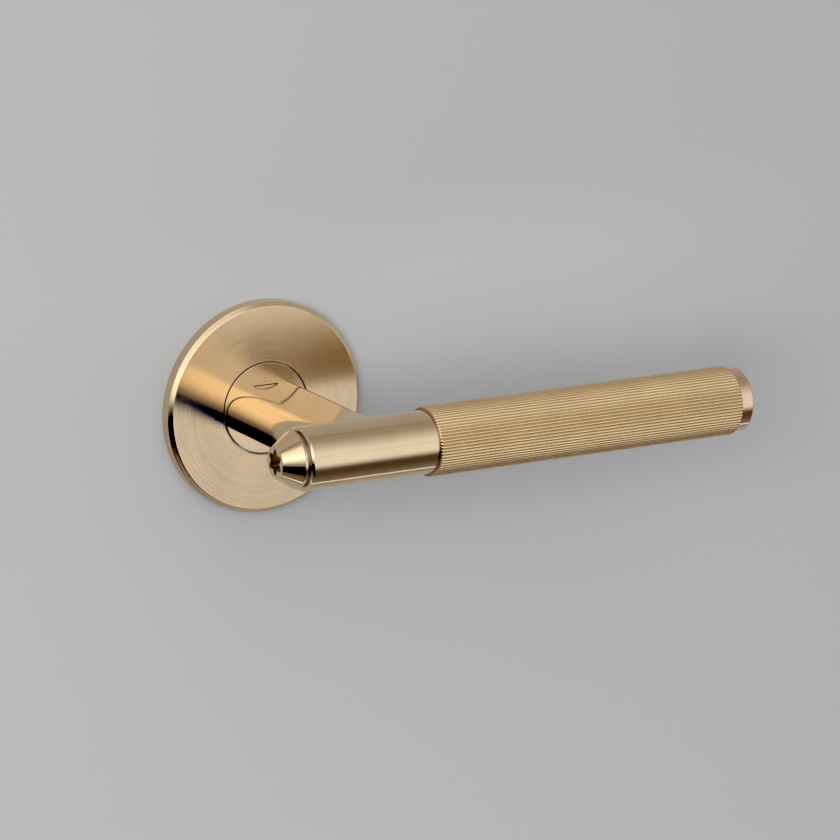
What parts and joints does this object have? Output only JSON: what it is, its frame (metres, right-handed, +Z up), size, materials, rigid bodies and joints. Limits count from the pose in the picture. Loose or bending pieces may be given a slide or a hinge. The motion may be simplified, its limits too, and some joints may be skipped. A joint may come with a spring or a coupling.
{
  "type": "door lever handle",
  "caption": "Sprung door lever handle on a slim round rose: a ribbed grip sleeve on a straight bar, carried on an oblong neck.",
  "frame": {"origin": "centre of the rose's back face, where it meets the door, on the spindle axis", "axes": "+X along the grip away from the spindle, +Y into the door along the spindle (-Y out to the hand), +Z up"},
  "size_m": [0.1414, 0.124, 0.056],
  "materials": {
    "polished_brass": "brushed and lacquered",
    "ribbed_brass": "satin, fine straight ribs",
    "steel": "zinc plated",
    "spring_steel": "oiled spring steel",
    "cast_zinc": "as cast",
    "nylon": "satin",
    "rubber": "matte"
  },
  "bodies": {
    "rose": {"rose_cover": "polished_brass", "cover_o_ring": "rubber", "mounting_plate": "steel", "through_bolts": "steel", "wood_screws": "steel", "spring_housing": "cast_zinc", "front_bush": "nylon", "rear_bush": "nylon", "stop_pin": "steel", "return_spring": "spring_steel"},
    "lever": {"neck": "polished_brass", "hub_disc": "polished_brass", "spring_driver": "steel", "thrust_washer": "steel", "circlip": "spring_steel", "spindle": "steel", "spindle_grub_screw": "steel", "barrel": "polished_brass", "grip_core": "steel", "grip_sleeve": "ribbed_brass", "end_cap": "polished_brass", "cone_screw": "polished_brass", "cone_washer": "steel"}
  },
  "joints": [
    {"name": "lever_turn", "type": "hinge", "parent": "rose", "child": "lever", "pos_m": [0, 0, 0], "axis": [0, 1, 0], "range_deg": [0, 45], "stiffness_Nm_per_rad": 1, "springref_deg": -34.38, "deforming": ["return_spring"]}
  ]
}
